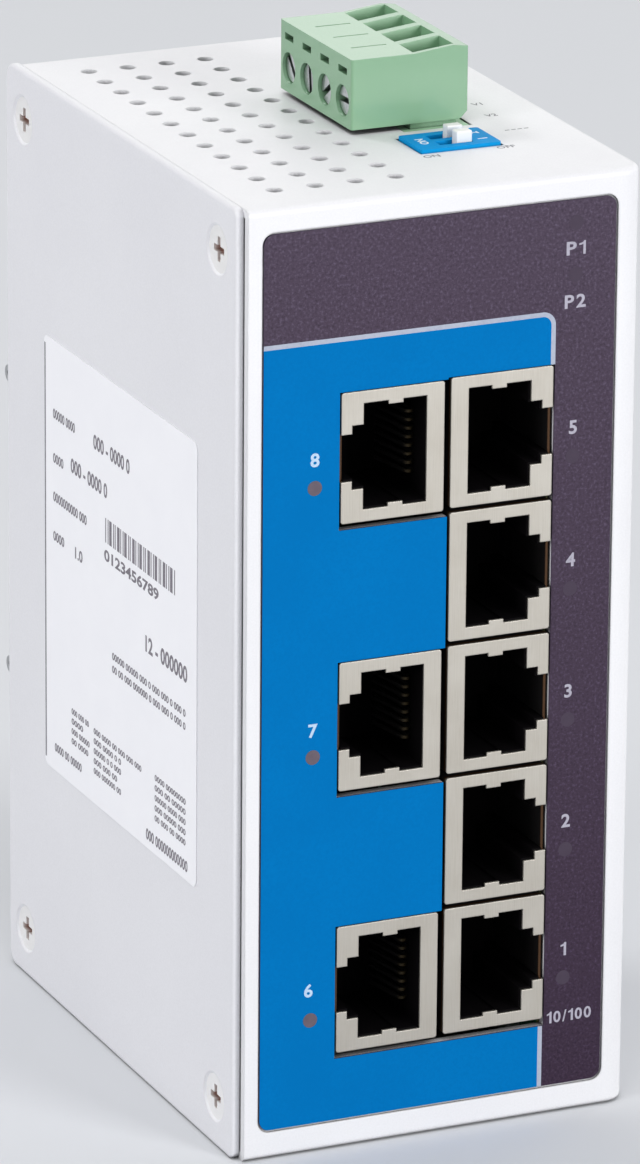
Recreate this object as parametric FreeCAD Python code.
import FreeCAD, Part
import math
import os

# DIN rail ethernet switch with eight ports, built piece by piece, in millimetres.
# Frame: the origin is the centre of the case's bottom face. +X is to the right seen
# from the front, -Y is the front with the ports, +Z is the top with the power plug.

V = FreeCAD.Vector

# ---- Case -------------------------------------------------------------------
CASE_W = 50.0            # over the side cover, along X
CASE_D = 70.0            # front face to rear face, along Y
CASE_H = 114.0           # bottom to top, along Z
SHEET = 1.0              # folded steel of the case
COVER_T = 1.0            # flat side cover on the left
EDGE_R = 0.8             # rounded outer edges of the front and the right
BEND_R = 2.6             # outside radius of the bend between the front and the right
REAR_R = 3.0             # outside radius of the top and bottom rear bends
COVER_CORNER_R = 2.0     # rear corners of the side cover
COVER_FRONT_R = 1.0      # its front corners
COVER_EDGE_R = 0.4       # rounded outer edge of the side cover
COVER_SETBACK = 1.2      # cover's front edge behind the front face

# ---- Screws -----------------------------------------------------------------
M3_R = 1.5               # outside radius of an M3 thread
THREAD_GAP = 0.03        # between a thread's outside and its hole
PAN_HEAD_R = 2.75
PAN_HEAD_H = 2.0
PAN_CROWN_R = 0.8
CSK_HEAD_R = 2.75
CSK_RIM_R = 3.0          # mouth of the countersink in the side cover
COVER_SCREW_LEN = 6.0
COVER_SCREW_FRONT = 6.5  # from the front face
COVER_SCREW_REAR = 5.3   # from the rear face
COVER_SCREW_END = 6.0    # from the top and bottom faces
BOARD_SCREW_LEN = 6.0
CROSS_W = 0.8            # width of a cross recess's arms
CROSS_L = 2.9            # length of its arms
CROSS_DEPTH = 1.0

# ---- Tapped lugs inside the case --------------------------------------------
LUG_REACH = 4.4          # from the screw's axis to the lug's edge
CLINCH_R = 3.2           # clinched nut behind each tapped hole
CLINCH_H = 2.0

# ---- Front film in its recess -----------------------------------------------
FILM_LEFT = 2.95         # margins to the case's outer faces
FILM_RIGHT = 3.6
FILM_TOP = 3.0
FILM_BOTTOM = 3.55
FILM_CORNER_R = 1.25
FILM_T = 0.25
RECESS_DEPTH = 0.35
RECESS_GAP = 0.25        # all round the film

# ---- Ports ------------------------------------------------------------------
JACK_H = 12.7            # along X, from the contact side to the board side
JACK_W = 15.45           # along Z
JACK_DEPTH = 18.0        # along Y
JACK_PITCH = 16.04       # rows of ports
JACK_FIRST_Z = 19.88     # middle of the right column's lowest port
COLUMN_DROP = 0.22       # left column below the right one
JACK_PROUD = 0.1         # shield in front of the front face
COLUMN_MID_X = 0.62      # middle of the gap between the two columns
COLUMN_GAP = 0.85
WINDOW_SIDE = 0.3        # cut-out beside the right column, beside the left, over and under
WINDOW_LEFT = 0.15
WINDOW_OVER = 0.06
WINDOW_UNDER = 0.8
SHIELD_T = 0.3
SHIELD_CORNER_R = 0.3
EDGE_SHOWS = 0.35        # the notch cuts this far into the shield's board side
HOUSING_GAP = 0.05       # moulded housing inside its shield
SOCKET_DEPTH = 13.0
SOCKET_NEAR = 2.15         # contact-side wall of the socket, from the jack's inner edge
SOCKET_FAR = 10.0         # main part of the socket ends
STEP_U = 11.4            # first step of the latch notch ends
SOCKET_HALF = 6.3        # half widths along Z: main part, first step, second step
STEP_1_HALF = 3.8
STEP_2_HALF = 2.8
FINGER_NEAR = 5.1          # shield fingers at the middle of the long sides
FINGER_FAR = 6.9
FINGER_H = 0.45
FINGER_ROOM = 0.25       # pocket in the housing beside a finger
SOCKET_LIP = 0.2         # housing's opening inside the shield's
PEG_R = 1.0              # locating pegs of a housing
PEG_Y = 8.0
PEG_HALF = 5.6
PEG_GAP = 0.05
WIRE_T = 0.3             # contact wires
WIRE_W = 0.35
WIRE_PITCH = 1.02
WIRES = 8
WIRE_TIP_Y = 3.2         # front of the contact bend, from the shield's face
WIRE_END_Y = 9.5
WIRE_END_U = 4.4
TAIL_Y = 14.75           # first row of solder tails
TAIL_STAGGER = 1.6
TAIL_SLACK = 0.35        # free space round the tails in the housing
# port number -> column and row, rows counted from the bottom
PORTS = {1: ("right", 0), 2: ("right", 1), 3: ("right", 2), 4: ("right", 3),
         5: ("right", 4), 6: ("left", 0), 7: ("left", 2), 8: ("left", 4)}

# ---- Circuit boards ---------------------------------------------------------
BOARD_T = 1.6
BOARD_GAP = 0.15         # jack shield to board
BOARD_FRONT_GAP = 0.35   # board's front edge behind the front wall
BOARD_BOTTOM = 4.0       # lower edge above the case's bottom face
PORT_BOARD_TOP = 2.5     # upper edge below the case's top face
PORT_BOARD_REAR = 6.0    # rear edge in front of the case's rear face
POWER_BOARD_OVER = 10.65 # upper edge above the highest port of its column
POWER_BOARD_REAR = 15.0
HOLE_GAP = 0.1           # screws, tails and pins in the boards
TAIL_HOLE_R = 0.32
PIN_PROUD = 0.8          # solder side of tails and pins
HEX_AF = 5.5             # standoffs and spacers, across the flats
STANDOFF_FRONT = 8.5     # screw rows, from the case's faces
STANDOFF_REAR = 11.0
STANDOFF_TOP = 17.0
STANDOFF_BOTTOM = 7.5
SPACER_FRONT = 24.0
SPACER_REAR = 19.0
SPACER_TOP = 8.0         # below the power board's upper edge
SPACER_BOTTOM = 8.0

# ---- Status lights ----------------------------------------------------------
LIGHT_FIRST_Z = 16.8     # lowest light of the ports
LIGHT_PITCH = 15.95      # rows of lights
LIGHT_OUT_RIGHT = 0.95   # light's axis from the outer face of its board
LIGHT_OUT_LEFT = 1.55
LIGHT_W = 2.0
LIGHT_BODY_D = 3.0
LENS_R = 0.9
LENS_GAP = 0.1           # lens in its hole, and behind the film
POWER_LIGHT_TOP = 5.7    # upper power light below the case's top face
POWER_LIGHT_PITCH = 6.13

# ---- Vents in the top -------------------------------------------------------
VENT_R = 0.95
VENT_PITCH = 4.955
VENT_COLUMNS = 4
VENT_ROWS = 12
VENT_LEFT = 7.15         # first column from the case's left face
VENT_FRONT = 6.95        # first row from the front face

# ---- Pluggable terminal block -----------------------------------------------
POLES = 4
POLE_PITCH = 5.08
PLUG_FRONT = 24.2        # plug's end face behind the case's front face
PLUG_W = 14.6            # along X
PLUG_LIFT = 0.6          # overhang above the case's top face
PLUG_SIDE_H = 8.3        # height of the screw face
PLUG_RISE = 0.55         # wire side's crest above the screw side
PLUG_RISE_W = 6.6        # width of the raised wire side
PLUG_CREST_IN = 1.85     # crest from the plug's right face
PLUG_RIGHT_RISE = 0.3    # top edge of the right face above the screw side
PLUG_CHAMFER = 0.9
PLUG_EDGE_R = 0.3
BOARD_SIDE_GAP = 0.05    # plug's right face beside the line of the port board
STEM_GAP = 0.2           # stem in its header, each side
STEM_INSET = 0.5         # stem's ends inside the plug's ends
HEADER_W = 8.2           # along X, against the port board
HEADER_WALL = 1.0
HEADER_FLOOR = 1.5
HEADER_H = 10.7
HEADER_SINK = 0.1        # header's rim below the case's top face
STEM_END_GAP = 0.3       # stem above the header's floor
OPENING_GAP = 0.2        # header and switch in their holes
PIN_W = 1.0
PIN_DROP = 2.3           # pins' bend below the header
PIN_TIP_GAP = 2.0        # pins' tips below the case's top face
PIN_BEVEL = 0.25
SOCKET_W = 2.4           # contact socket round a pin
SOCKET_HOLE = 1.2
SOCKET_FIT = 0.05        # contacts in the plug's channels
STRIP_T = 0.7            # contact strip
STRIP_X = 8.25           # strip's left face, from the screw face
SCREW_Z = 2.95           # screw axis above the plug's overhang
SCREW_HEAD_R = 1.7
SCREW_HEAD_L = 1.5
SCREW_SINK = 0.45        # head below the screw face
SCREW_SHANK_R = 1.25
SCREW_RUN_GAP = 0.04     # running clearance of the shank in its clamp
SCREW_HEAD_GAP = 0.15
SLOT_W = 0.7
SLOT_DEPTH = 0.8
SLOT_ANGLES = (88.0, 55.0, -7.5, -41.5)   # as the four screws were left, front to rear
CLAMP_H = 3.4            # along Z
CLAMP_W = 4.2            # along Y
CLAMP_WALL_X = 1.2       # threaded wall
CLAMP_FOOT = 0.8         # wall that lifts the wire
CLAMP_SIDE = 0.6
CLAMP_STRIP_GAP = 0.4    # threaded wall to the contact strip, clamp open
TIP_GAP = 0.3            # screw's tip to the contact strip
CLAMP_TRAVEL = 2.0
WIRE_SPACE = 3.8         # strip to foot, clamp open
CLAMP_GAP = 0.15         # clamp in its chamber, at the sides
CHAMBER_GAP = 0.3        # above, below and behind the clamp
FUNNEL_NEAR = 7.75         # mouth of a wire funnel, from the screw face
FUNNEL_FAR = 13.05
FUNNEL_HALF = 1.95
FUNNEL_THROAT = 1.4
TOOL_SLOT_L = 2.4
TOOL_SLOT_H = 0.8
TOOL_SLOT_DEPTH = 3.0
TOOL_SLOT_TOP = 1.3      # slot's upper side below the plug's left top edge
GROOVE_START = 2.2
GROOVE_L = 4.4
GROOVE_W = 0.25
GROOVE_DEPTH = 0.2

# ---- Two-way switch ---------------------------------------------------------
DIP_W = 10.0             # along X
DIP_L = 6.6              # along Y
DIP_H = 5.4
DIP_FRONT = 14.25        # behind the case's front face
DIP_PROUD = 0.4
DIP_BOARD_GAP = 0.3
DIP_PITCH = 2.54
DIP_EDGE_R = 0.3
SLIDER_L = 1.9
SLIDER_W = 1.25
SLIDER_PROUD = 1.3
SLIDER_DEPTH = 1.3       # into the body
SLIDER_TRAVEL = 2.0
SLIDER_GAP = 0.15
SLIDER_REST = 5.0        # slider's left side at OFF, from the body's left side
SLIDER_EDGE_R = 0.15
DIP_PIN_W = 0.5
DIP_PIN_SPAN = 7.62
DIP_PIN_DROP = 1.5
DIP_ROW_DROP = 2.5       # second row of pins bends lower

# ---- DIN rail clip on the back ----------------------------------------------
RAIL_H = 35.0            # rail that the clip takes
RAIL_FLANGE_T = 1.0
RAIL_DROP = 1.3          # rail's middle below the middle of the case
RAIL_ROOM = 0.8          # above the rail, to lift it over the lower lips
CLIP_T = 1.2
CLIP_SIDE = 1.5          # plate's side edges inside the case's faces
CLIP_CORNER_R = 2.4
CLIP_ABOVE = 12.8        # plate above the upper shelf
CLIP_BELOW = 10.2        # plate below the ledge
FLANGE_GAP = 1.0         # room behind the rail's flange
LIP_HALF_IN = 11.0       # upper shelf and lips start here, either side of the middle
LIP_SIDE = 3.5           # lips end this far inside the plate's side edges
LIP_REACH = 3.1          # upper lips over the rail's flange
LOW_LIP_HALF = 17.0      # half length of the lower lip
LOW_LIP_H = 0.7
CURL_R = 1.05            # rolled ends of the shelf and the ledge
CURL_HOLE_R = 0.35
CLIP_SCREW_SIDE = 5.5    # from the plate's side edges
CLIP_SCREW_INSET = 4.5   # from the plate's upper and lower edges
SPRING_W = 16.0
SPRING_T = 0.5
SPRING_SCREW_X = 5.0
SPRING_TOP = 3.0         # below the plate's upper edge
SPRING_LIP = 2.6         # turned down behind the rail's flange

# ---- Parts on the boards ----------------------------------------------------
MAGNETIC_T = 6.0         # off the board
MAGNETIC_L = 9.5         # along Y
MAGNETIC_W = 12.7        # along Z
MAGNETIC_R = 0.5
MAGNETIC_GAP = 3.6       # behind the sockets
MAGNETIC_ROWS = 4        # one between each two ports
CHIP_W = 20.0
CHIP_T = 1.5
CHIP_BEVEL = 0.3
CHIP_GAP = 1.5           # behind the transformers
CHIP_Z = 62.0
CAPACITOR_R = 4.0
CAPACITOR_L = 11.5
CAPACITOR_EDGE_R = 0.6
CRIMP_X = 1.7            # crimped groove from the board
CRIMP_R = 0.3
CAPACITOR_GAP = 6.0      # first can behind the sockets
CAPACITOR_PITCH = 10.0
CAPACITOR_COUNT = 3
CAPACITOR_Z = 80.0
COIL_R = 5.0
COIL_L = 6.0
COIL_CORE_R = 4.2
COIL_FLANGE = 1.2
COIL_GAP = 15.0          # behind the sockets
COIL_Z = 62.0
LINK_L = 25.4            # board-to-board connector, along Z
LINK_T = 5.0
LINK_REAR = 3.0          # in front of the power board's rear edge
LINK_Z = 22.0
LINK_SPLIT = 8.5         # height of the half on the port board
LINK_SLACK = 0.05

# ---- Side label -------------------------------------------------------------
LABEL_FRONT = 11.7       # from the front face
LABEL_L = 46.2
LABEL_LOW = 29.85
LABEL_H = 53.9
LABEL_T = 0.12
LABEL_R = 1.0

# ---- Worked-out places ------------------------------------------------------
LEFT = -CASE_W / 2
RIGHT = CASE_W / 2
FRONT = -CASE_D / 2
REAR = CASE_D / 2
SEAM = LEFT + COVER_T                       # side cover meets the case here
WALL_IN = FRONT + SHEET + RECESS_DEPTH      # rear of the front wall behind the recess
INNER_X = {"right": COLUMN_MID_X + COLUMN_GAP / 2, "left": COLUMN_MID_X - COLUMN_GAP / 2}
SIGN = {"right": 1, "left": -1}
BOARD_IN = {side: INNER_X[side] + SIGN[side] * (JACK_H + BOARD_GAP) for side in SIGN}
BOARD_OUT = {side: BOARD_IN[side] + SIGN[side] * BOARD_T for side in SIGN}
BOARD_FRONT = WALL_IN + BOARD_FRONT_GAP
BOARD_REAR = {"right": REAR - PORT_BOARD_REAR, "left": REAR - POWER_BOARD_REAR}
TOP_ROW = max(row for side, row in PORTS.values() if side == "left")
TOP_JACK_Z = JACK_FIRST_Z - COLUMN_DROP + TOP_ROW * JACK_PITCH + JACK_W / 2
BOARD_TOP = {"right": CASE_H - PORT_BOARD_TOP, "left": TOP_JACK_Z + POWER_BOARD_OVER}
LIGHT_OUT = {"right": LIGHT_OUT_RIGHT, "left": LIGHT_OUT_LEFT}
LIGHT_X = {side: BOARD_OUT[side] + SIGN[side] * LIGHT_OUT[side] for side in SIGN}
FILM_FACE = FRONT + RECESS_DEPTH - FILM_T
JACK_REAR = FRONT - JACK_PROUD + JACK_DEPTH
MAGNETIC_Y0 = JACK_REAR + MAGNETIC_GAP
CHIP_Y0 = MAGNETIC_Y0 + MAGNETIC_L + CHIP_GAP

PLUG_RIGHT = BOARD_IN["right"] - BOARD_SIDE_GAP
PLUG_LEFT = PLUG_RIGHT - PLUG_W
PLUG_Y0 = FRONT + PLUG_FRONT
PLUG_L = POLES * POLE_PITCH
PLUG_Y1 = PLUG_Y0 + PLUG_L
PLUG_Z0 = CASE_H + PLUG_LIFT
PLUG_SIDE_Z = PLUG_Z0 + PLUG_SIDE_H
POLE_Y = [PLUG_Y0 + (i + 0.5) * POLE_PITCH for i in range(POLES)]
HEADER_X1 = BOARD_IN["right"]
HEADER_X0 = HEADER_X1 - HEADER_W
HEADER_TOP = CASE_H - HEADER_SINK
HEADER_Z0 = HEADER_TOP - HEADER_H
STEM_X0 = HEADER_X0 + HEADER_WALL + STEM_GAP
STEM_X1 = HEADER_X1 - HEADER_WALL - STEM_GAP
STEM_Y0 = PLUG_Y0 + STEM_INSET
STEM_Y1 = PLUG_Y1 - STEM_INSET
STEM_Z0 = HEADER_Z0 + HEADER_FLOOR + STEM_END_GAP
HEADER_Y0 = STEM_Y0 - STEM_GAP - HEADER_WALL
HEADER_Y1 = STEM_Y1 + STEM_GAP + HEADER_WALL
PIN_X = (STEM_X0 + STEM_X1) / 2
PIN_TOP = CASE_H - PIN_TIP_GAP
PIN_BEND_Z = HEADER_Z0 - PIN_DROP
SCREW_AXIS_Z = PLUG_Z0 + SCREW_Z
STRIP_LEFT = PLUG_LEFT + STRIP_X
STRIP_RIGHT = STRIP_LEFT + STRIP_T
CLAMP_X0 = STRIP_LEFT - CLAMP_STRIP_GAP - CLAMP_WALL_X
CLAMP_X1 = STRIP_RIGHT + WIRE_SPACE + CLAMP_FOOT
CLAMP_Z0 = SCREW_AXIS_Z - CLAMP_H / 2
CLAMP_Z1 = SCREW_AXIS_Z + CLAMP_H / 2
CHAMBER_X0 = CLAMP_X0 - CLAMP_TRAVEL - CHAMBER_GAP
CHAMBER_X1 = CLAMP_X1 + CHAMBER_GAP
CHAMBER_Z0 = CLAMP_Z0 - CHAMBER_GAP
CHAMBER_Z1 = CLAMP_Z1 + CHAMBER_GAP
HEAD_X0 = PLUG_LEFT + SCREW_SINK
HEAD_X1 = HEAD_X0 + SCREW_HEAD_L
SOCKET_TOP = PIN_TOP + STEM_END_GAP + STRIP_T

DIP_X1 = BOARD_IN["right"] - DIP_BOARD_GAP
DIP_X0 = DIP_X1 - DIP_W
DIP_Y0 = FRONT + DIP_FRONT
DIP_Y1 = DIP_Y0 + DIP_L
DIP_MID_Y = (DIP_Y0 + DIP_Y1) / 2
DIP_TOP = CASE_H + DIP_PROUD
DIP_Z0 = DIP_TOP - DIP_H
SLIDER_X0 = DIP_X0 + SLIDER_REST
SLIDER_Y = {1: DIP_MID_Y - DIP_PITCH / 2, 2: DIP_MID_Y + DIP_PITCH / 2}

RAIL_SEAT_Z = CASE_H / 2 - RAIL_DROP - RAIL_H / 2   # rail's lower edge on the ledge
RAIL_TOP_Z = RAIL_SEAT_Z + RAIL_H
SHELF_Z = RAIL_TOP_Z + RAIL_ROOM
CLIP_IN = REAR
CLIP_FACE = REAR + CLIP_T
LIP_IN = CLIP_FACE + RAIL_FLANGE_T + FLANGE_GAP
LIP_OUT = LIP_IN + CLIP_T
CLIP_HALF = CASE_W / 2 - CLIP_SIDE
CLIP_Z0 = RAIL_SEAT_Z - CLIP_BELOW
CLIP_Z1 = SHELF_Z + CLIP_ABOVE + CLIP_T
CLIP_SCREWS = [(x, z) for z in (CLIP_Z0 + CLIP_SCREW_INSET, CLIP_Z1 - CLIP_SCREW_INSET)
               for x in (CLIP_SCREW_SIDE - CLIP_HALF, CLIP_HALF - CLIP_SCREW_SIDE)]
SPRING_Z1 = CLIP_Z1 - SPRING_TOP
SPRING_SCREW_Z = CLIP_Z1 - CLIP_SCREW_INSET
SPRING_SCREWS = [(x, SPRING_SCREW_Z) for x in (-SPRING_SCREW_X, SPRING_SCREW_X)]

COVER_SCREWS = [(y, z) for y in (FRONT + COVER_SCREW_FRONT, REAR - COVER_SCREW_REAR)
                for z in (COVER_SCREW_END, CASE_H - COVER_SCREW_END)]
STANDOFFS = [(y, z) for y in (FRONT + STANDOFF_FRONT, REAR - STANDOFF_REAR)
             for z in (STANDOFF_BOTTOM, CASE_H - STANDOFF_TOP)]
SPACERS = [(y, z) for y in (FRONT + SPACER_FRONT, REAR - SPACER_REAR)
           for z in (SPACER_BOTTOM, BOARD_TOP["left"] - SPACER_TOP)]

EPS = 0.01               # overlap that lets joined solids share a volume
BIG = 1.0                # how far a cutting tool runs past a face


# ---- Helpers ----------------------------------------------------------------
def box(x0, x1, y0, y1, z0, z1):
    """A box from its limits, which may come in either order."""
    x0, x1, y0, y1, z0, z1 = (min(x0, x1), max(x0, x1), min(y0, y1), max(y0, y1),
                              min(z0, z1), max(z0, z1))
    return Part.makeBox(x1 - x0, y1 - y0, z1 - z0, V(x0, y0, z0))


def rod(axis, radius, start, length):
    """A cylinder along an axis, "x", "y" or "z", from a start point."""
    direction = {"x": V(1, 0, 0), "y": V(0, 1, 0), "z": V(0, 0, 1)}[axis]
    if length < 0:
        direction, length = -direction, -length
    return Part.makeCylinder(radius, length, V(*start), direction)


def fuse(shapes):
    """Join overlapping or touching shapes and drop the seams."""
    joined = shapes[0].fuse(shapes[1:]) if len(shapes) > 1 else shapes[0]
    return joined.removeSplitter()


def cut(shape, tools):
    """Cut a list of tools out of a shape."""
    return shape.cut(tools)


def prism(plane, points, low, high):
    """Extrude a closed polygon: "xz" along Y, "yz" along X, "xy" along Z."""
    place = {"xz": lambda a, b, c: V(a, c, b), "yz": lambda a, b, c: V(c, a, b),
             "xy": lambda a, b, c: V(a, b, c)}[plane]
    corners = [place(a, b, low) for a, b in points]
    face = Part.Face(Part.makePolygon(corners + corners[:1]))
    return face.extrude(place(0, 0, high - low))


def straight_edges(shape, axis, keep):
    """Edges that run along an axis and whose middle passes the test keep."""
    found = []
    for edge in shape.Edges:
        a, b = edge.Vertexes[0].Point, edge.Vertexes[-1].Point
        run = b - a
        along = {"x": run.x, "y": run.y, "z": run.z}[axis]
        if run.Length > EPS and abs(abs(along) - run.Length) < EPS / 10:
            if keep((a + b) * 0.5):
                found.append(edge)
    return found


def plate(axis, radius, x0, x1, y0, y1, z0, z1):
    """A box with its four edges along an axis rounded."""
    shape = box(x0, x1, y0, y1, z0, z1)
    return shape.makeFillet(radius, straight_edges(shape, axis, lambda middle: True))


def hexagon_bar(x0, x1, y, z):
    """A hexagonal bar along X."""
    reach = HEX_AF / math.sqrt(3)
    points = [(y + reach * math.cos(math.radians(60 * i)), z + reach * math.sin(math.radians(60 * i)))
              for i in range(6)]
    return prism("yz", points, x0, x1)


def group(shapes):
    """Separate solids that share one node."""
    return Part.makeCompound(shapes)


def cross_recess(x, y, z, sign):
    """A cross recess cut into a head whose face is at x and looks along sign."""
    half_l, half_w = CROSS_L / 2, CROSS_W / 2
    far = x - sign * CROSS_DEPTH
    near = x + sign * BIG
    return fuse([box(near, far, y - half_l, y + half_l, z - half_w, z + half_w),
                 box(near, far, y - half_w, y + half_w, z - half_l, z + half_l)])


def pan_screw(x, y, z, sign, length):
    """A pan-head screw along X whose head sits at x and points along sign."""
    head = rod("x", PAN_HEAD_R, (x, y, z), sign * PAN_HEAD_H)
    crown = circles_at(head, x + sign * PAN_HEAD_H)
    head = head.makeFillet(PAN_CROWN_R, crown)
    shank = rod("x", M3_R - THREAD_GAP, (x + sign * EPS, y, z), -sign * (length + EPS))
    return cut(fuse([head, shank]), [cross_recess(x + sign * PAN_HEAD_H, y, z, sign)])


def circles_at(shape, x):
    """The round edges of a shape that lie at one X."""
    return [edge for edge in shape.Edges
            if edge.Curve.TypeId == "Part::GeomCircle" and abs(edge.CenterOfMass.x - x) < EPS]


# ---- Case -------------------------------------------------------------------
def film_outline(margin, y0, y1):
    """The film's rounded outline, grown by a margin, as a plate along Y."""
    return plate("y", FILM_CORNER_R + margin,
                 LEFT + FILM_LEFT - margin, RIGHT - FILM_RIGHT + margin, y0, y1,
                 FILM_BOTTOM - margin, CASE_H - FILM_TOP + margin)


def port_z(port):
    """Height of a port's middle."""
    side, row = PORTS[port]
    drop = COLUMN_DROP if side == "left" else 0
    return JACK_FIRST_Z - drop + row * JACK_PITCH


def port_window(y0, y1):
    """The stepped opening round all sockets."""
    under = JACK_W / 2 + WINDOW_UNDER
    over = JACK_W / 2 + WINDOW_OVER
    right_top = max(port_z(port) for port in PORTS if PORTS[port][0] == "right")
    inner = INNER_X["right"] - WINDOW_SIDE
    outer = INNER_X["right"] + JACK_H + WINDOW_SIDE
    parts = [box(inner, outer, y0, y1, min(map(port_z, PORTS)) - under, right_top + over)]
    for port, (side, _) in PORTS.items():
        if side == "left":
            far = INNER_X["left"] - JACK_H - WINDOW_LEFT
            parts.append(box(far, inner + EPS, y0, y1, port_z(port) - under, port_z(port) + over))
    return fuse(parts)


def lights():
    """The axis (x, z) and side of every status light."""
    places = [(LIGHT_X[side], LIGHT_FIRST_Z + row * LIGHT_PITCH, side)
              for side, row in PORTS.values()]
    top = CASE_H - POWER_LIGHT_TOP
    places += [(LIGHT_X["right"], top - i * POWER_LIGHT_PITCH, "right") for i in range(2)]
    return places


def vents():
    """Round vent holes through the top."""
    return [rod("z", VENT_R, (LEFT + VENT_LEFT + column * VENT_PITCH,
                              FRONT + VENT_FRONT + row * VENT_PITCH, CASE_H - SHEET - BIG),
                SHEET + 2 * BIG)
            for column in range(VENT_COLUMNS) for row in range(VENT_ROWS)]


def cover_lugs():
    """Flanges inside the top and bottom walls that the side cover screws into."""
    parts = []
    for y, z in COVER_SCREWS:
        inward = 1 if z < CASE_H / 2 else -1
        wall = SHEET - EPS if inward > 0 else CASE_H - SHEET + EPS
        y0 = max(y - LUG_REACH, FRONT + SHEET + RECESS_DEPTH / 2)
        y1 = min(y + LUG_REACH, REAR - SHEET / 2)
        parts.append(box(SEAM, SEAM + SHEET, y0, y1, wall, z + inward * LUG_REACH))
        parts.append(rod("x", CLINCH_R, (SEAM + SHEET - EPS, y, z), CLINCH_H + EPS))
    return parts


def chassis():
    """Folded steel box, open on the left where the side cover goes."""
    outer = box(SEAM, RIGHT, FRONT, REAR, 0, CASE_H)
    outer = outer.makeFillet(REAR_R, straight_edges(outer, "x", lambda p: p.y > REAR - EPS))
    outer = outer.makeFillet(BEND_R, straight_edges(outer, "z", lambda p: p.x > RIGHT - EPS
                                                    and p.y < FRONT + EPS))
    rim = [edge for edge in outer.Edges
           if all(abs(vertex.X - RIGHT) < EPS for vertex in edge.Vertexes)]
    front = straight_edges(outer, "x", lambda p: p.y < FRONT + EPS)
    outer = outer.makeFillet(EDGE_R, rim + front)
    inner = box(SEAM - BIG, RIGHT - SHEET, FRONT + SHEET, REAR - SHEET, SHEET, CASE_H - SHEET)
    inner = inner.makeFillet(REAR_R - SHEET,
                             straight_edges(inner, "x", lambda p: p.y > REAR - SHEET - EPS))
    inner = inner.makeFillet(BEND_R - SHEET,
                             straight_edges(inner, "z", lambda p: p.x > RIGHT - SHEET - EPS
                                            and p.y < FRONT + SHEET + EPS))
    shell = outer.cut(inner)
    swell = film_outline(RECESS_GAP + RECESS_DEPTH, FRONT + SHEET - EPS, WALL_IN)
    clinches = [rod("y", CLINCH_R, (x, REAR - SHEET + EPS, z), -(CLINCH_H + EPS))
                for x, z in CLIP_SCREWS + SPRING_SCREWS]
    body = fuse([shell, swell] + cover_lugs() + clinches)
    tools = [film_outline(RECESS_GAP, FRONT - BIG, FRONT + RECESS_DEPTH),
             port_window(FRONT - BIG, WALL_IN + BIG)]
    tools += [rod("y", LENS_R + LENS_GAP, (x, FRONT - BIG, z), SHEET + RECESS_DEPTH + 2 * BIG)
              for x, z, _ in lights()]
    tools += vents()
    tools.append(box(HEADER_X0 - OPENING_GAP, HEADER_X1 + OPENING_GAP, HEADER_Y0 - OPENING_GAP,
                     HEADER_Y1 + OPENING_GAP, CASE_H - SHEET - BIG, CASE_H + BIG))
    tools.append(box(DIP_X0 - OPENING_GAP, DIP_X1 + OPENING_GAP, DIP_Y0 - OPENING_GAP,
                     DIP_Y1 + OPENING_GAP, CASE_H - SHEET - BIG, CASE_H + BIG))
    for y, z in COVER_SCREWS:
        tools.append(rod("x", M3_R, (SEAM - BIG, y, z), SHEET + CLINCH_H + 2 * BIG))
        tools.append(countersink(y, z))
    tools += [rod("y", M3_R, (x, REAR + BIG, z), -(SHEET + CLINCH_H + 2 * BIG))
              for x, z in CLIP_SCREWS + SPRING_SCREWS]
    return cut(body, tools)


def countersink(y, z):
    """The 90 degree cone that a cover screw's head sits in, from the cover's outside."""
    depth = CSK_RIM_R - M3_R
    return Part.makeCone(CSK_RIM_R, M3_R, depth, V(LEFT, y, z), V(1, 0, 0))


def side_cover():
    """Flat cover over the left side, with countersunk screw holes."""
    shape = box(LEFT, SEAM, FRONT + COVER_SETBACK, REAR, 0, CASE_H)
    rear = straight_edges(shape, "x", lambda p: p.y > REAR - EPS)
    shape = shape.makeFillet(COVER_CORNER_R, rear)
    front = straight_edges(shape, "x", lambda p: p.y < REAR - CASE_D / 2)
    shape = shape.makeFillet(COVER_FRONT_R, front)
    rim = [edge for edge in shape.Edges
           if all(abs(vertex.X - LEFT) < EPS for vertex in edge.Vertexes)]
    shape = shape.makeFillet(COVER_EDGE_R, rim)
    tools = [countersink(y, z) for y, z in COVER_SCREWS]
    tools += [rod("x", M3_R, (LEFT - BIG, y, z), COVER_T + 2 * BIG) for y, z in COVER_SCREWS]
    return cut(shape, tools)


def cover_screws():
    """Four countersunk screws with cross recesses."""
    shapes = []
    head_h = CSK_HEAD_R - M3_R
    sink = CSK_RIM_R - CSK_HEAD_R
    for y, z in COVER_SCREWS:
        head = Part.makeCone(CSK_HEAD_R, M3_R, head_h, V(LEFT + sink, y, z), V(1, 0, 0))
        shank = rod("x", M3_R - THREAD_GAP, (LEFT + sink + EPS, y, z), COVER_SCREW_LEN)
        shapes.append(cut(fuse([head, shank]), [cross_recess(LEFT + sink, y, z, -1)]))
    return group(shapes)


def front_overlay():
    """Printed film that lies in the recess of the front wall."""
    film = film_outline(0, FILM_FACE, FRONT + RECESS_DEPTH)
    return cut(film, [port_window(FRONT - BIG, FRONT + BIG)])


def side_label():
    """Printed sticker on the side cover."""
    y0 = FRONT + LABEL_FRONT
    return plate("x", LABEL_R, LEFT - LABEL_T, LEFT, y0, y0 + LABEL_L,
                 LABEL_LOW, LABEL_LOW + LABEL_H)


# ---- Sockets ----------------------------------------------------------------
def place_jack(shape, port):
    """Move a shape from jack coordinates to its port.

    In jack coordinates x runs from the contact side to the board side, y from the
    shield's face into the case, and z across the jack from its middle.
    """
    side = PORTS[port][0]
    placed = shape.copy()
    if side == "left":
        placed = placed.mirror(V(0, 0, 0), V(1, 0, 0))
    placed.translate(V(INNER_X[side], FRONT - JACK_PROUD, port_z(port)))
    return placed


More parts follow.
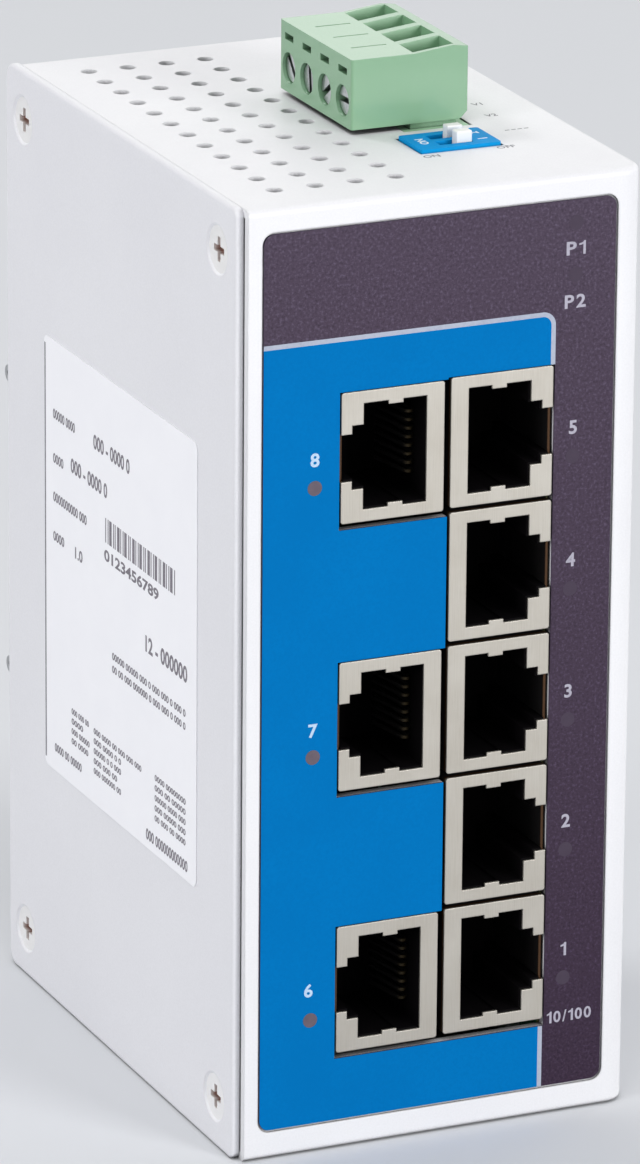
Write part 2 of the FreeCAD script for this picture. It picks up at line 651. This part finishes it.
def socket_outline(lip, middle, end):
    """Outline of the plug opening with its stepped latch notch.

    A lip makes the opening smaller. The middle stretch of the long sides has its own
    near end, far end and half width.
    """
    half = SOCKET_HALF - lip
    far = SOCKET_FAR - lip
    step = STEP_U - lip
    middle_near, middle_far, middle_half = middle
    upper = [(SOCKET_NEAR, half), (middle_near, half), (middle_near, middle_half),
             (middle_far, middle_half), (middle_far, half), (far, half),
             (far, STEP_1_HALF - lip), (step, STEP_1_HALF - lip),
             (step, STEP_2_HALF - lip), (end, STEP_2_HALF - lip)]
    return upper + [(u, -v) for u, v in reversed(upper)]


def tail_rows():
    """Depth of the two staggered rows of solder tails."""
    return (TAIL_Y, TAIL_Y + TAIL_STAGGER)


def jack_shield():
    """Plated steel can with the plug opening in its face."""
    half = JACK_W / 2
    can = plate("y", SHIELD_CORNER_R, 0, JACK_H, 0, JACK_DEPTH, -half, half)
    inside = box(SHIELD_T, JACK_H - SHIELD_T, SHIELD_T, JACK_DEPTH - SHIELD_T,
                 SHIELD_T - half, half - SHIELD_T)
    finger = (FINGER_NEAR, FINGER_FAR, SOCKET_HALF - FINGER_H)
    mouth = prism("xz", socket_outline(0, finger, JACK_H + BIG), -BIG, SHIELD_T + EDGE_SHOWS)
    window = box(JACK_H - SHIELD_T - EPS, JACK_H + BIG, TAIL_Y - BIG,
                 JACK_DEPTH - SHIELD_T - EPS, -SOCKET_HALF, SOCKET_HALF)
    pegs = [rod("x", PEG_R + PEG_GAP, (JACK_H - BIG, PEG_Y, side * PEG_HALF), 2 * BIG)
            for side in (-1, 1)]
    return cut(can, [inside, mouth, window] + pegs)


def jack_housing():
    """Moulded housing with the socket, a chamber for the contacts and two pegs."""
    gap = SHIELD_T + HOUSING_GAP
    half = JACK_W / 2 - gap
    body = box(gap, JACK_H - gap, gap, JACK_DEPTH - gap, -half, half)
    reach = HOUSING_GAP + SHIELD_T + BOARD_GAP + BOARD_T + PIN_PROUD / 2
    pegs = [rod("x", PEG_R, (JACK_H - gap - EPS, PEG_Y, side * PEG_HALF), reach + EPS)
            for side in (-1, 1)]
    pocket = (FINGER_NEAR - FINGER_ROOM, FINGER_FAR + FINGER_ROOM, SOCKET_HALF)
    socket = prism("xz", socket_outline(SOCKET_LIP, pocket, JACK_H + BIG), -BIG, SOCKET_DEPTH)
    row_half = WIRES / 2 * WIRE_PITCH + TAIL_SLACK
    chamber = box(SOCKET_NEAR, JACK_H + BIG, TAIL_Y - TAIL_SLACK,
                  TAIL_Y + TAIL_STAGGER + WIRE_T + TAIL_SLACK, -row_half, row_half)
    slit = box(SOCKET_NEAR, SOCKET_NEAR + 2 * WIRE_T, SOCKET_DEPTH - BIG, TAIL_Y, -row_half, row_half)
    return cut(fuse([body] + pegs), [socket, chamber, slit])


def wire_place(i):
    """Place of a contact wire across the jack."""
    return (i - (WIRES - 1) / 2) * WIRE_PITCH


def contact_wire(tail_y):
    """One contact: a run on the socket's wall, a front bend, an arm and a tail."""
    low, high = -WIRE_W / 2, WIRE_W / 2
    bend_u = SOCKET_NEAR + 2 * WIRE_T
    bend_y = WIRE_TIP_Y + 2 * WIRE_T
    run = box(SOCKET_NEAR, SOCKET_NEAR + WIRE_T, bend_y, tail_y + WIRE_T, low, high)
    ring = Part.makeCylinder(2 * WIRE_T, WIRE_W, V(bend_u, bend_y, low))
    ring = ring.cut(Part.makeCylinder(WIRE_T, WIRE_W, V(bend_u, bend_y, low)))
    ring = ring.cut(box(bend_u - BIG, bend_u + BIG, bend_y, bend_y + BIG, low, high))
    arm = prism("xy", [(bend_u + WIRE_T, bend_y), (bend_u + 2 * WIRE_T, bend_y),
                       (WIRE_END_U, WIRE_END_Y), (WIRE_END_U - WIRE_T, WIRE_END_Y)], low, high)
    reach = JACK_H + BOARD_GAP + BOARD_T + PIN_PROUD
    tail = box(SOCKET_NEAR, reach, tail_y, tail_y + WIRE_T, low, high)
    return fuse([run, ring, arm, tail])


def jack_contacts():
    """Eight contact wires, their tails in two staggered rows."""
    wires = [contact_wire(tail_y) for tail_y in tail_rows()]
    row = []
    for i in range(WIRES):
        wire = wires[i % 2].copy()
        wire.translate(V(0, 0, wire_place(i)))
        row.append(wire)
    return group(row)


def jack_holes(port):
    """Holes in a board for one jack's pegs and tails."""
    length = BOARD_T + 2 * BOARD_GAP
    holes = [rod("x", PEG_R + PEG_GAP, (JACK_H, PEG_Y, side * PEG_HALF), length)
             for side in (-1, 1)]
    for i in range(WIRES):
        y = tail_rows()[i % 2] + WIRE_T / 2
        holes.append(rod("x", TAIL_HOLE_R, (JACK_H, y, wire_place(i)), length))
    return [place_jack(hole, port) for hole in holes]


# ---- Boards and what holds them ---------------------------------------------
def board(side, extra):
    """A bare board with the holes of its jacks, its screws and more holes."""
    shape = box(BOARD_IN[side], BOARD_OUT[side], BOARD_FRONT, BOARD_REAR[side],
                BOARD_BOTTOM, BOARD_TOP[side])
    tools = list(extra)
    for port, (column, _) in PORTS.items():
        if column == side:
            tools += jack_holes(port)
    low_x = min(BOARD_IN[side], BOARD_OUT[side]) - BIG
    tools += [rod("x", M3_R + HOLE_GAP, (low_x, y, z), BOARD_T + 2 * BIG) for y, z in SPACERS]
    return cut(shape, tools)


def port_board():
    """Right board: ports 1 to 5, the power header and the two-way switch."""
    x0 = BOARD_IN["right"] - BIG
    length = BOARD_T + 2 * BIG
    holes = [rod("x", M3_R + HOLE_GAP, (x0, y, z), length) for y, z in STANDOFFS]
    pin_r = PIN_W / math.sqrt(2) + HOLE_GAP
    holes += [rod("x", pin_r, (x0, y, PIN_BEND_Z + PIN_W / 2), length) for y in POLE_Y]
    dip_r = DIP_PIN_W / math.sqrt(2) + HOLE_GAP
    holes += [rod("x", dip_r, (x0, y, z), length) for _, y, z in dip_pin_places()]
    return board("right", holes)


def power_board():
    """Left board: ports 6 to 8 and the power supply."""
    return board("left", [])


def board_standoffs():
    """Hexagonal standoffs between the port board and the case's right wall."""
    x0, x1 = BOARD_OUT["right"], RIGHT - SHEET
    return group([cut(hexagon_bar(x0, x1, y, z),
                      [rod("x", M3_R, (x0 - BIG, y, z), BOARD_SCREW_LEN + BIG)])
                  for y, z in STANDOFFS])


def board_spacers():
    """Hexagonal spacers between the two boards."""
    x0, x1 = BOARD_IN["left"], BOARD_IN["right"]
    return group([cut(hexagon_bar(x0, x1, y, z),
                      [rod("x", M3_R, (x0 - BIG, y, z), BOARD_SCREW_LEN + BIG),
                       rod("x", M3_R, (x1 + BIG, y, z), -(BOARD_SCREW_LEN + BIG))])
                  for y, z in SPACERS])


def board_screws():
    """Pan-head screws of the standoffs and of both ends of the spacers."""
    screws = [pan_screw(BOARD_IN["right"], y, z, -1, BOARD_SCREW_LEN) for y, z in STANDOFFS]
    screws += [pan_screw(BOARD_OUT["right"], y, z, 1, BOARD_SCREW_LEN) for y, z in SPACERS]
    screws += [pan_screw(BOARD_OUT["left"], y, z, -1, BOARD_SCREW_LEN) for y, z in SPACERS]
    return group(screws)


def status_leds():
    """Lights on the boards' front edges, their lenses in holes of the front wall."""
    shapes = []
    for x, z, side in lights():
        half_x = LIGHT_OUT[side]
        body = box(x - half_x, x + half_x, BOARD_FRONT, BOARD_FRONT + LIGHT_BODY_D,
                   z - LIGHT_W / 2, z + LIGHT_W / 2)
        tip = FRONT + RECESS_DEPTH + LENS_GAP
        lens = rod("y", LENS_R, (x, tip, z), BOARD_FRONT - tip + EPS)
        shapes.append(fuse([body, lens]))
    return group(shapes)


def board_connector():
    """Two halves of the connector that joins the boards."""
    y1 = BOARD_REAR["left"] - LINK_REAR
    split = BOARD_IN["right"] - LINK_SPLIT
    z0, z1 = LINK_Z, LINK_Z + LINK_L
    male = box(split, BOARD_IN["right"], y1 - LINK_T, y1, z0, z1)
    female = box(BOARD_IN["left"], split - LINK_SLACK, y1 - LINK_T, y1, z0, z1)
    return group([male, female])


def switch_chip():
    """The switch chip on the port board."""
    x1 = BOARD_IN["right"]
    half = CHIP_W / 2
    body = box(x1 - CHIP_T, x1, CHIP_Y0, CHIP_Y0 + CHIP_W, CHIP_Z - half, CHIP_Z + half)
    face = [edge for edge in body.Edges if edge.CenterOfMass.x < x1 - CHIP_T + EPS]
    return body.makeChamfer(CHIP_BEVEL, face)


def magnetics():
    """Isolation transformer modules behind the sockets of the port board."""
    x1 = BOARD_IN["right"]
    half = MAGNETIC_W / 2
    shapes = []
    for row in range(MAGNETIC_ROWS):
        z = JACK_FIRST_Z + JACK_PITCH / 2 + row * JACK_PITCH
        shapes.append(plate("x", MAGNETIC_R, x1 - MAGNETIC_T, x1, MAGNETIC_Y0,
                            MAGNETIC_Y0 + MAGNETIC_L, z - half, z + half))
    return group(shapes)


def capacitors():
    """Electrolytic capacitors on the power board, each with its crimped groove."""
    x0 = BOARD_IN["left"]
    first = JACK_REAR + CAPACITOR_GAP + CAPACITOR_R
    shapes = []
    for i in range(CAPACITOR_COUNT):
        y = first + i * CAPACITOR_PITCH
        can = rod("x", CAPACITOR_R, (x0, y, CAPACITOR_Z), CAPACITOR_L)
        can = can.makeFillet(CAPACITOR_EDGE_R, circles_at(can, x0 + CAPACITOR_L))
        shapes.append(can.cut(Part.makeTorus(CAPACITOR_R, CRIMP_R,
                                             V(x0 + CRIMP_X, y, CAPACITOR_Z), V(1, 0, 0))))
    return group(shapes)


def inductor():
    """Wound power inductor on the power board."""
    x0 = BOARD_IN["left"]
    y = JACK_REAR + COIL_GAP + COIL_R
    return fuse([rod("x", COIL_R, (x0, y, COIL_Z), COIL_FLANGE),
                 rod("x", COIL_CORE_R, (x0, y, COIL_Z), COIL_L),
                 rod("x", COIL_R, (x0 + COIL_L - COIL_FLANGE, y, COIL_Z), COIL_FLANGE)])


# ---- Power plug and header --------------------------------------------------
def plug_body():
    """Outside of the plug: the block above the case and the stem in the header."""
    rise_x = PLUG_RIGHT - PLUG_RISE_W
    crest_x = PLUG_RIGHT - PLUG_CREST_IN
    outline = [(PLUG_LEFT, PLUG_Z0), (PLUG_LEFT, PLUG_SIDE_Z), (rise_x, PLUG_SIDE_Z),
               (crest_x, PLUG_SIDE_Z + PLUG_RISE), (PLUG_RIGHT, PLUG_SIDE_Z + PLUG_RIGHT_RISE),
               (PLUG_RIGHT, PLUG_Z0 + PLUG_CHAMFER), (PLUG_RIGHT - PLUG_CHAMFER, PLUG_Z0)]
    block = prism("xz", outline, PLUG_Y0, PLUG_Y1)
    corners = straight_edges(block, "z", lambda p: p.x < PLUG_LEFT + EPS)
    block = block.makeFillet(PLUG_EDGE_R, corners)
    stem = box(STEM_X0, STEM_X1, STEM_Y0, STEM_Y1, STEM_Z0, PLUG_Z0 + EPS)
    return fuse([block, stem])


def wire_funnel(y):
    """A tapered wire entry from the plug's top down to the clamp's chamber."""
    top = PLUG_SIDE_Z + PLUG_RISE
    throat = CHAMBER_Z1 - EPS

    def frame(x0, x1, half, z):
        corners = [V(x0, y - half, z), V(x1, y - half, z), V(x1, y + half, z), V(x0, y + half, z)]
        return Part.makePolygon(corners + corners[:1])

    lower = frame(STRIP_RIGHT, CHAMBER_X1 - CHAMBER_GAP - CLAMP_FOOT, FUNNEL_THROAT, throat)
    upper = frame(PLUG_LEFT + FUNNEL_NEAR, PLUG_LEFT + FUNNEL_FAR, FUNNEL_HALF, top)
    return Part.makeLoft([lower, upper], True, True)


def plug_pole_tools(y):
    """Everything cut out of the plug for one pole."""
    slot_z = PLUG_SIDE_Z - TOOL_SLOT_TOP
    half_socket = SOCKET_W / 2 + SOCKET_FIT
    half_clamp = CLAMP_W / 2 + CLAMP_GAP
    return [
        rod("x", SCREW_HEAD_R + SCREW_HEAD_GAP, (PLUG_LEFT - BIG, y, SCREW_AXIS_Z),
            BIG + SCREW_SINK + SCREW_HEAD_L + 2 * SCREW_HEAD_GAP),
        rod("x", SCREW_SHANK_R + SCREW_HEAD_GAP, (HEAD_X0, y, SCREW_AXIS_Z),
            CHAMBER_X0 - HEAD_X0 + EPS),
        box(CHAMBER_X0, CHAMBER_X1, y - half_clamp, y + half_clamp, CHAMBER_Z0, CHAMBER_Z1),
        wire_funnel(y),
        box(PLUG_LEFT - BIG, PLUG_LEFT + TOOL_SLOT_DEPTH, y - TOOL_SLOT_L / 2,
            y + TOOL_SLOT_L / 2, slot_z - TOOL_SLOT_H, slot_z),
        box(PIN_X - half_socket, PIN_X + half_socket, y - half_socket, y + half_socket,
            STEM_Z0 - BIG, SOCKET_TOP + SOCKET_FIT),
        box(STRIP_LEFT - SOCKET_FIT, STRIP_RIGHT + SOCKET_FIT, y - half_socket, y + half_socket,
            SOCKET_TOP - STRIP_T - SOCKET_FIT, CHAMBER_Z0 + EPS),
        box(STRIP_LEFT - SOCKET_FIT, PIN_X + half_socket, y - half_socket, y + half_socket,
            SOCKET_TOP - STRIP_T - SOCKET_FIT, SOCKET_TOP + SOCKET_FIT)]


def plug_housing():
    """Moulded housing of the pluggable terminal block."""
    tools = []
    for y in POLE_Y:
        tools += plug_pole_tools(y)
    for i in range(1, POLES):
        y = PLUG_Y0 + i * POLE_PITCH
        tools.append(box(PLUG_LEFT + GROOVE_START, PLUG_LEFT + GROOVE_START + GROOVE_L,
                         y - GROOVE_W / 2, y + GROOVE_W / 2,
                         PLUG_SIDE_Z - GROOVE_DEPTH, PLUG_SIDE_Z + BIG))
    return cut(plug_body(), tools)


def plug_contacts():
    """Contact sockets with strips that the clamps press the wires against."""
    shapes = []
    half = SOCKET_W / 2
    for y in POLE_Y:
        tube = box(PIN_X - half, PIN_X + half, y - half, y + half, STEM_Z0 + STEM_END_GAP,
                   SOCKET_TOP - STRIP_T + EPS)
        hole = SOCKET_HOLE / 2
        tube = tube.cut(box(PIN_X - hole, PIN_X + hole, y - hole, y + hole, STEM_Z0,
                            SOCKET_TOP - STRIP_T))
        bridge = box(STRIP_LEFT, PIN_X + half, y - half, y + half, SOCKET_TOP - STRIP_T, SOCKET_TOP)
        strip = box(STRIP_LEFT, STRIP_RIGHT, y - half, y + half, SOCKET_TOP - EPS,
                    CHAMBER_Z1 - CHAMBER_GAP)
        shapes.append(fuse([tube, bridge, strip]))
    return group(shapes)


def terminal_screw(index):
    """A slotted terminal screw, its axis along X."""
    y = POLE_Y[index]
    head = rod("x", SCREW_HEAD_R, (HEAD_X0, y, SCREW_AXIS_Z), SCREW_HEAD_L)
    tip = STRIP_LEFT - TIP_GAP
    shank = rod("x", SCREW_SHANK_R, (HEAD_X1 - EPS, y, SCREW_AXIS_Z), tip - HEAD_X1 + EPS)
    slot = box(HEAD_X0 - BIG, HEAD_X0 + SLOT_DEPTH, y - SLOT_W / 2, y + SLOT_W / 2,
               SCREW_AXIS_Z - 2 * SCREW_HEAD_R, SCREW_AXIS_Z + 2 * SCREW_HEAD_R)
    slot.rotate(V(0, y, SCREW_AXIS_Z), V(1, 0, 0), SLOT_ANGLES[index])
    return cut(fuse([head, shank]), [slot])


def wire_clamp(index):
    """A rising clamp: a steel ring that the screw pulls towards its head."""
    y = POLE_Y[index]
    half = CLAMP_W / 2
    ring = box(CLAMP_X0, CLAMP_X1, y - half, y + half, CLAMP_Z0, CLAMP_Z1)
    window = box(CLAMP_X0 + CLAMP_WALL_X, CLAMP_X1 - CLAMP_FOOT, y - half + CLAMP_SIDE,
                 y + half - CLAMP_SIDE, CLAMP_Z0 - BIG, CLAMP_Z1 + BIG)
    bore = rod("x", SCREW_SHANK_R + SCREW_RUN_GAP, (CLAMP_X0 - BIG, y, SCREW_AXIS_Z),
               CLAMP_WALL_X + 2 * BIG)
    return cut(ring, [window, bore])


def header_housing():
    """Board header that the plug's stem pushes into."""
    outer = box(HEADER_X0, HEADER_X1, HEADER_Y0, HEADER_Y1, HEADER_Z0, HEADER_TOP)
    inner = box(HEADER_X0 + HEADER_WALL, HEADER_X1 - HEADER_WALL, HEADER_Y0 + HEADER_WALL,
                HEADER_Y1 - HEADER_WALL, HEADER_Z0 + HEADER_FLOOR, HEADER_TOP + BIG)
    half = PIN_W / 2
    pins = [box(PIN_X - half, PIN_X + half, y - half, y + half, HEADER_Z0 - BIG, HEADER_TOP)
            for y in POLE_Y]
    return cut(outer, [inner] + pins)


def header_pins():
    """Square pins of the header, bent into the port board."""
    half = PIN_W / 2
    reach = BOARD_OUT["right"] + PIN_PROUD
    shapes = []
    for y in POLE_Y:
        upright = box(PIN_X - half, PIN_X + half, y - half, y + half, PIN_BEND_Z, PIN_TOP)
        upright = upright.makeChamfer(PIN_BEVEL, [edge for edge in upright.Edges
                                                  if edge.CenterOfMass.z > PIN_TOP - EPS])
        leg = box(PIN_X - half, reach, y - half, y + half, PIN_BEND_Z, PIN_BEND_Z + PIN_W)
        shapes.append(fuse([upright, leg]))
    return group(shapes)


# ---- Two-way switch ---------------------------------------------------------
def dip_pin_places():
    """Upright place x, row y and bend height z of the switch's four pins."""
    middle = (DIP_X0 + DIP_X1) / 2
    places = []
    for side in (-1, 1):
        drop = DIP_PIN_DROP + (DIP_ROW_DROP if side < 0 else 0)
        for y in SLIDER_Y.values():
            places.append((middle + side * DIP_PIN_SPAN / 2, y, DIP_Z0 - drop))
    return places


def dip_body():
    """Body of the two-way switch, with a channel for each slider."""
    body = box(DIP_X0, DIP_X1, DIP_Y0, DIP_Y1, DIP_Z0, DIP_TOP)
    body = body.makeFillet(DIP_EDGE_R, straight_edges(body, "z", lambda p: True))
    half = SLIDER_W / 2 + SLIDER_GAP
    channels = [box(SLIDER_X0 - SLIDER_TRAVEL - SLIDER_GAP, SLIDER_X0 + SLIDER_L + SLIDER_GAP,
                    y - half, y + half, DIP_TOP - SLIDER_DEPTH - SLIDER_GAP, DIP_TOP + BIG)
                for y in SLIDER_Y.values()]
    return cut(body, channels)


def dip_slider(number):
    """One slider at its OFF end."""
    y = SLIDER_Y[number]
    slider = box(SLIDER_X0, SLIDER_X0 + SLIDER_L, y - SLIDER_W / 2, y + SLIDER_W / 2,
                 DIP_TOP - SLIDER_DEPTH, DIP_TOP + SLIDER_PROUD)
    top = [edge for edge in slider.Edges if edge.CenterOfMass.z > DIP_TOP + SLIDER_PROUD - EPS]
    return slider.makeFillet(SLIDER_EDGE_R, top)


def dip_pins():
    """The switch's pins, bent into the port board."""
    half = DIP_PIN_W / 2
    reach = BOARD_OUT["right"] + PIN_PROUD
    shapes = []
    for x, y, z in dip_pin_places():
        upright = box(x - half, x + half, y - half, y + half, z - half, DIP_Z0)
        leg = box(x - half, reach, y - half, y + half, z - half, z + half)
        shapes.append(fuse([upright, leg]))
    return group(shapes)


# ---- DIN rail clip ----------------------------------------------------------
def rolled_shelf(x0, x1, top):
    """A shelf folded out from the clip plate, its far end rolled downwards."""
    middle_y = LIP_OUT - CURL_R
    middle_z = top - CURL_R
    start = (x0, middle_y, middle_z)
    roll = rod("x", CURL_R, start, x1 - x0).cut(rod("x", CURL_HOLE_R, start, x1 - x0))
    roll = roll.cut(box(x0 - BIG, x1 + BIG, CLIP_IN, middle_y, middle_z - BIG - CURL_R, middle_z))
    return [box(x0, x1, CLIP_IN, middle_y, top - CLIP_T, top), roll]


def din_plate():
    """Clip plate with lips above the rail and a shorter lip below it."""
    half = CLIP_HALF
    parts = [plate("y", CLIP_CORNER_R, -half, half, CLIP_IN, CLIP_FACE, CLIP_Z0, CLIP_Z1)]
    parts += rolled_shelf(-half, half, RAIL_SEAT_Z)
    parts.append(box(-LOW_LIP_HALF, LOW_LIP_HALF, LIP_IN, LIP_OUT, RAIL_SEAT_Z - CLIP_T / 2,
                     RAIL_SEAT_Z + LOW_LIP_H))
    for side in (-1, 1):
        inner, outer, end = side * LIP_HALF_IN, side * (half - LIP_SIDE), side * half
        parts += rolled_shelf(min(inner, end), max(inner, end), SHELF_Z + CLIP_T)
        parts.append(box(inner, outer, LIP_IN, LIP_OUT, SHELF_Z - LIP_REACH, SHELF_Z + CLIP_T / 2))
    holes = [rod("y", M3_R + HOLE_GAP, (x, CLIP_IN - BIG, z), CLIP_T + 2 * BIG)
             for x, z in CLIP_SCREWS + SPRING_SCREWS]
    return cut(fuse(parts), holes)


def din_spring():
    """Leaf spring that bears on the rail's upper edge between the upper lips."""
    near, far = CLIP_FACE, LIP_OUT
    outline = [(near, SPRING_Z1), (near + SPRING_T, SPRING_Z1),
               (near + SPRING_T, RAIL_TOP_Z + SPRING_T), (far, RAIL_TOP_Z + SPRING_T),
               (far, RAIL_TOP_Z - SPRING_LIP), (far - SPRING_T, RAIL_TOP_Z - SPRING_LIP),
               (far - SPRING_T, RAIL_TOP_Z), (near, RAIL_TOP_Z)]
    leaf = prism("yz", outline, -SPRING_W / 2, SPRING_W / 2)
    bends = straight_edges(leaf, "x", lambda p: abs(p.z - RAIL_TOP_Z) < SPRING_T + EPS)
    outer = [edge for edge in bends if abs(edge.CenterOfMass.y - far) < EPS
             or (abs(edge.CenterOfMass.y - near) < EPS and edge.CenterOfMass.z < RAIL_TOP_Z + EPS)]
    leaf = leaf.makeFillet(SPRING_T, outer)
    holes = [rod("y", M3_R + HOLE_GAP, (x, near - BIG, z), SPRING_T + 2 * BIG)
             for x, z in SPRING_SCREWS]
    return cut(leaf, holes)


def din_screws():
    """Pan-head screws that hold the clip plate and the spring to the case."""
    shapes = []
    for x, z in CLIP_SCREWS + SPRING_SCREWS:
        seat = CLIP_FACE + (SPRING_T if (x, z) in SPRING_SCREWS else 0)
        screw = pan_screw(0, 0, 0, 1, BOARD_SCREW_LEN - CLIP_T)
        screw.rotate(V(0, 0, 0), V(0, 0, 1), 90)
        screw.translate(V(x, seat, z))
        shapes.append(screw)
    return group(shapes)


# ---- Writing the pieces -----------------------------------------------------
def build():
    """Every node's name and shape."""
    nodes = {
        "chassis": chassis(), "side_cover": side_cover(), "cover_screws": cover_screws(),
        "front_overlay": front_overlay(), "side_label": side_label(),
        "port_board": port_board(), "power_board": power_board(),
        "board_standoffs": board_standoffs(), "board_spacers": board_spacers(),
        "board_screws": board_screws(), "board_connector": board_connector(),
        "status_leds": status_leds(), "switch_chip": switch_chip(), "magnetics": magnetics(),
        "capacitors": capacitors(), "inductor": inductor(),
        "plug_housing": plug_housing(), "plug_contacts": plug_contacts(),
        "header_housing": header_housing(), "header_pins": header_pins(),
        "dip_body": dip_body(), "dip_pins": dip_pins(),
        "din_plate": din_plate(), "din_spring": din_spring(), "din_screws": din_screws()}
    for number in SLIDER_Y:
        nodes["dip_slider_%d" % number] = dip_slider(number)
    for index in range(POLES):
        nodes["terminal_screw_%d" % (index + 1)] = terminal_screw(index)
        nodes["wire_clamp_%d" % (index + 1)] = wire_clamp(index)
    shield, housing, contacts = jack_shield(), jack_housing(), jack_contacts()
    for port in PORTS:
        nodes["jack_%d_shield" % port] = place_jack(shield, port)
        nodes["jack_%d_housing" % port] = place_jack(housing, port)
        nodes["jack_%d_contacts" % port] = place_jack(contacts, port)
    return nodes


os.makedirs("parts", exist_ok=True)
for name, shape in sorted(build().items()):
    if not shape.isValid():
        print("not valid:", name)
    shape.exportStep("parts/%s.step" % name)
    print("%-20s solids %2d  volume %9.2f" % (name, len(shape.Solids), shape.Volume))
